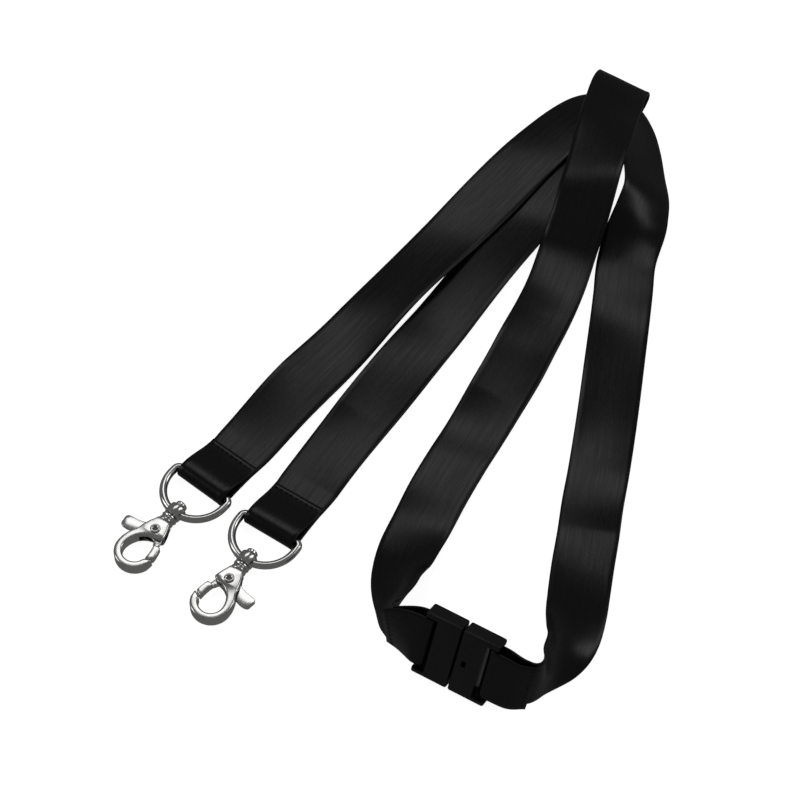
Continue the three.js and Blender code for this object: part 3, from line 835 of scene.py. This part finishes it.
def hook_body():
    """A cast body: two cheeks over the lever, a spine, and a round eye that stays open where the
    gate shuts it, with the turned swivel stud on top."""
    steps = [(0, 18.9, 90, 2.5), (0, 20.3, 90, 2.9), (0, 22, 90, 3.7), (0, 23.7, 90, 4.25),
             (0, 25, 90, 4.6), (-0.55, 25.5, 92.5, 4.05), (-1.65, 26, 92, 3.05),
             (-2.55, 26.55, 94, 2.36), (-3.4, 27.45, 98, 1.82), (-4.3, 28.65, 99, 1.57),
             (-4.95, 30.1, 98, 1.46), (-5.36, 31.65, 95, 1.37)]
    for turn in np.arange(180, 17, -9):
        steps.append((EYE_RADIUS * math.cos(math.radians(turn)),
                      EYE_Y + EYE_RADIUS * math.sin(math.radians(turn)),
                      turn - 90, EYE_HALF_WIDE))
    steps.append((5.42, 33.15, -118.8, 1.48))
    body = swept(steps, 0, HOOK_HALF_THICK)
    round_edges(body, 0.75, 4, 40)
    neck = turned([
        (1.0, BOSS_START - 1.75), (1.55, BOSS_START - 1.65), (1.95, BOSS_START - 1.25),
        (2.0, BOSS_START - 0.6), (1.8, BOSS_START - 0.3), (1.15, BOSS_START - 0.3),
        (1.15, NECK_START), (2.45, NECK_START), (2.75, NECK_START + 0.2), (2.8, NECK_START + 0.55),
        (2.6, NECK_START + 0.95), (2.25, NECK_START + 1.1), (2.2, NECK_START + 1.35),
        (2.45, NECK_START + 1.5), (2.62, NECK_START + 1.8), (2.62, NECK_START + 2.3),
        (2.4, NECK_START + 2.75), (1.9, NECK_START + 3.1)], 36)
    set_down(neck, Matrix.Rotation(-math.pi / 2, 4, "X"))
    merge(body, neck, "UNION")
    slot = block((-HOOK_REACH, SLOT_START, -SLOT_HALF), (HOOK_REACH, SLOT_END, SLOT_HALF))
    merge(body, slot, "DIFFERENCE")
    merge(body, rod(PIVOT_HOLE, -4, 4, 0, PIN_Y), "DIFFERENCE")
    return body


def gate_lever():
    """A thin pressed lever on the pin: the thumb paddle on one side, and the thicker gate bar that
    shuts the eye on the other."""
    paddle = [(-10.9, 26.6, -10, 1.1), (-10.65, 26.55, -10, 1.75), (-10.1, 26.45, -11, 2.15),
              (-9.2, 26.35, -12, 2.35), (-8, 26.2, -13, 2.38), (-6.4, 25.85, -14, 2.25),
              (-4.4, 25.15, -16, 2.15), (-2.4, 24.2, -12, 2.4), (-0.6, 23.75, 0, 2.55),
              (1.45, 24, 13, 2.34), (2.6, 24.8, 24, 1.84), (3.35, 26.4, 52, 1.25),
              (3.95, 28, 86, 1.05)]
    lever = swept(paddle, -0.375, 0.475)
    round_edges(lever, 0.22, 3, 40)
    gate = swept([(4.3, 27.5, 84, 1.2), (4.68, 28.8, 82, 1.2), (5, 30.1, 80, 1.22),
                  (5.2, 31.4, 74, 1.28), (5.325, 32.8, 60.4, 1.4)], 0, 1.35)
    round_edges(gate, 0.4, 4, 40)
    merge(lever, gate, "UNION")
    merge(lever, rod(PIVOT_HOLE, -4, 4, 0, PIN_Y), "DIFFERENCE")
    return lever


def pivot_rivet():
    """A tubular rivet with a rolled head at each end."""
    face = HOOK_HALF_THICK + 0.12
    curl = [(1.65, 0.0), (1.68, 0.14), (1.55, 0.34), (1.3, 0.45), (1.0, 0.42), (0.75, 0.22), (0.7, 0.0)]
    profile = [(1.1, -face), (1.1, face)]
    profile += [(r, face + z) for r, z in curl]
    profile += [(r, -face - z) for r, z in reversed(curl)]
    profile += [(1.1, -face)]
    rivet = turned(profile, 28, hollow=True)
    set_down(rivet, Matrix.Translation((0, PIN_Y * MM, 0)))
    return rivet


# ---------------------------------------------------------------- breakaway buckle

def buckle_frame():
    """What both halves share, from the split outwards: the block, two rails past the slot, and the
    round-edged bar that the ribbon goes round."""
    frame_block = block((SPLIT_GAP, -BUCKLE_HALF_WIDTH, -BUCKLE_HALF_THICK),
                        (RAIL_END, BUCKLE_HALF_WIDTH, BUCKLE_HALF_THICK))
    round_edges(frame_block, 0.75, 4)
    slot = block((BODY_END, -RAIL_INSIDE, -5), (RAIL_END + 5, RAIL_INSIDE, 5))
    merge(frame_block, slot, "DIFFERENCE")
    bar = block((BAR_START, -RAIL_INSIDE - 0.5, -BAR_HALF_THICK),
                (BAR_END, RAIL_INSIDE + 0.5, BAR_HALF_THICK))
    round_edges(bar, 0.5, 3)
    merge(frame_block, bar, "UNION")
    return frame_block


def socket_half():
    """The half with the pocket, and a small window where the catch shows."""
    socket = buckle_frame()
    pocket = block((-2, -POCKET_HALF_WIDTH, -POCKET_HALF_DEEP),
                   (POCKET_DEPTH, POCKET_HALF_WIDTH, POCKET_HALF_DEEP))
    merge(socket, pocket, "DIFFERENCE")
    window = block((WINDOW[0], -1.1, 0.5), (WINDOW[1], 1.1, 5))
    round_edges(window, 0.35, 3)
    merge(socket, window, "DIFFERENCE")
    return socket


def plug_half():
    """The half with the flat tongue and its catch, between two springy prongs."""
    plug = buckle_frame()
    reach = -TONGUE_LENGTH
    tongue = block((reach, -5.2, -1.1), (SPLIT_GAP + 1, 5.2, 1.1))
    round_edges(tongue, 0.4, 3)
    merge(plug, tongue, "UNION")
    merge(plug, block((-3.6, -0.8, -1.35), (-2.7, 0.8, -0.8)), "UNION")
    for side in (-1, 1):
        prong = swept([(SPLIT_GAP + 1, side * 7.2, 180, 1.0), (-3.4, side * 7.35, 180, 0.85),
                       (-4.6, side * 7.6, 180, 1.15), (reach + 0.3, side * 7.5, 180, 0.55)], 0, 1.1)
        round_edges(prong, 0.25, 2, 50)
        merge(plug, prong, "UNION")
    return plug


# ---------------------------------------------------------------- sewing

def stitch_row(name, point, across, along, out, count=9):
    """A row of machine stitches: short round threads that dip into the cloth at both ends."""
    curve = bpy.data.curves.new(name, "CURVE")
    curve.dimensions = "3D"
    curve.bevel_depth = THREAD_RADIUS * MM
    curve.bevel_resolution = 2
    curve.use_fill_caps = True
    pitch = 2 * STITCH_HALF / count
    for k in range(count):
        spline = curve.splines.new("BEZIER")
        spline.bezier_points.add(2)
        middle = -STITCH_HALF + (k + 0.5) * pitch
        slant = 0.1 * math.sin(k * 2.3)
        for node, share in zip(spline.bezier_points, (-0.40, 0, 0.40)):
            rise = THREAD_RADIUS * (0.75 if share == 0 else -0.75)
            place = point + across * (middle + share * pitch) * MM
            place = place + out * rise * MM + along * slant * share * MM
            node.co = place
            node.handle_left_type = node.handle_right_type = "AUTO"
    row = bpy.data.objects.new(name, curve)
    bpy.context.collection.objects.link(row)
    only(row)
    bpy.ops.object.convert(target="MESH")
    row = named(name)
    recalculate(row)
    smooth(row, 60)
    return row


def sewn_across(name, strap_frames, at, outward):
    """Stitches across a strap at a length from its start, on the face that looks outward."""
    lengths, middle, side, face, _ = strap_frames
    row = int(np.argmin(np.abs(lengths - at)))
    along = unit_rows(np.gradient(middle, axis=0))[row]
    out = face[row] * (1 if face[row] @ np.array(outward) > 0 else -1)
    point = middle[row] + out * (RIBBON_THICK / 2 - STITCH_DIP * MM)
    return stitch_row(name, Vector(point), Vector(side[row]), Vector(along), Vector(out))


# ---------------------------------------------------------------- putting it together

def dress(piece, body, finish, slot_name, *nodes):
    """Gives a piece its finish, and the body it moves with unless it bends between two."""
    piece.data.materials.clear()
    piece.data.materials.append(finish)
    if body:
        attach(piece, body)
    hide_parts(*nodes)


def ring_place(letter):
    """The frame of a D-ring: X along its bar, Y towards the hook."""
    along = Vector(JOINTS[f"ring_swing_{letter}"]["axis"]).normalized()
    away = Vector(JOINTS[f"hook_swivel_{letter}"]["axis"]).normalized()
    place = Matrix((along, away, along.cross(away))).transposed().to_4x4()
    place.translation = Vector(JOINTS[f"ring_swing_{letter}"]["pos_m"])
    return place


def buckle_place():
    along, up, out = (Vector(axis) for axis in buckle_axes())
    place = Matrix((along, up, out)).transposed().to_4x4()
    place.translation = ORIGIN + Vector(BUCKLE_CENTRE) * MM
    return place


def facing(strap_frames, at, outward):
    lengths, _, _, face, _ = strap_frames
    row = int(np.argmin(np.abs(lengths - at)))
    return 1 if face[row] @ np.array(outward) > 0 else -1


def straps(finish, thread):
    tail = (TAIL_LENGTH - STITCH_FROM_BAR) * MM
    frames_a = ribbon_frames(STRAP_A)
    frames_b = ribbon_frames(STRAP_B)
    end_a = frames_a[0][-1] - STITCH_FROM_END * MM
    end_b = frames_b[0][-1] - STITCH_FROM_END * MM
    buckle_out = buckle_axes()[2]
    strap_a = ribbon("strap_a_cloth", STRAP_A, [(tail, facing(frames_a, tail, (0, 0, 1)))], FIRST_TURN_A)
    strap_b = ribbon("strap_b_cloth", STRAP_B, [(tail, facing(frames_b, tail, (0, 0, 1)))], FIRST_TURN_B)
    rows = [
        (sewn_across("sewing_hook_a", frames_a, tail, (0, 0, 1)), "root", "stitch_hook_a"),
        (sewn_across("sewing_hook_b", frames_b, tail, (0, 0, 1)), "root", "stitch_hook_b"),
        (sewn_across("sewing_neck_a", frames_a, end_a, buckle_out), "socket_side", "stitch_neck_a"),
        (sewn_across("sewing_neck_b", frames_b, end_b, buckle_out), "root", "stitch_neck_b")]
    for row, body, node in rows:
        dress(row, body, thread, "thread", node)
    dress(strap_b, "root", finish, "webbing", "strap_b")
    dress(strap_a, None, finish, "webbing", "strap_a", "strap_a_neck")
    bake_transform(strap_a)


def hardware(nickel, spring):
    ring = d_ring()
    body = hook_body()
    lever = gate_lever()
    rivet = pivot_rivet()
    for letter, hook in (("a", HOOK_A), ("b", HOOK_B)):
        place = ring_place(letter)
        turned_over = place @ Matrix.Rotation(math.pi if hook["flipped"] else 0, 4, "Y")
        for source, name, node, where, rider in (
                (ring, "wire_ring", "d_ring", place, "ring"),
                (body, "snap_hook", "hook_body", turned_over, "hook"),
                (lever, "gate_and_paddle", "gate_lever", turned_over, "lever"),
                (rivet, "tube_rivet", "pivot_rivet", turned_over, "hook")):
            piece = copied(source, f"{name}_{letter}")
            set_down(piece, where)
            smooth(piece, 34)
            dress(piece, f"{rider}_{letter}", nickel, "nickel", f"{node}_{letter}")
        coil = bpy.data.objects[f"lever_spring_{letter}"]
        for finish in coil.material_slots:
            finish.material = spring
    for source in (ring, body, lever, rivet):
        bpy.data.objects.remove(source)


def buckle(acetal):
    place = buckle_place()
    socket = socket_half()
    socket.name = socket.data.name = "socket_moulding"
    set_down(socket, place)
    smooth(socket)
    dress(socket, "socket_side", acetal, "buckle_plastic", "buckle_socket")
    plug = plug_half()
    plug.name = plug.data.name = "plug_moulding"
    set_down(plug, place @ Matrix.Rotation(math.pi, 4, "Y"))
    smooth(plug)
    dress(plug, "root", acetal, "buckle_plastic", "buckle_plug")


camera()
weave = weave_group()
grain = grain_group()
straps(satin_ribbon(weave), sewing_thread(grain))
hardware(nickel_plate(grain), spring_wire(grain))
buckle(moulded_acetal(grain))
studio()
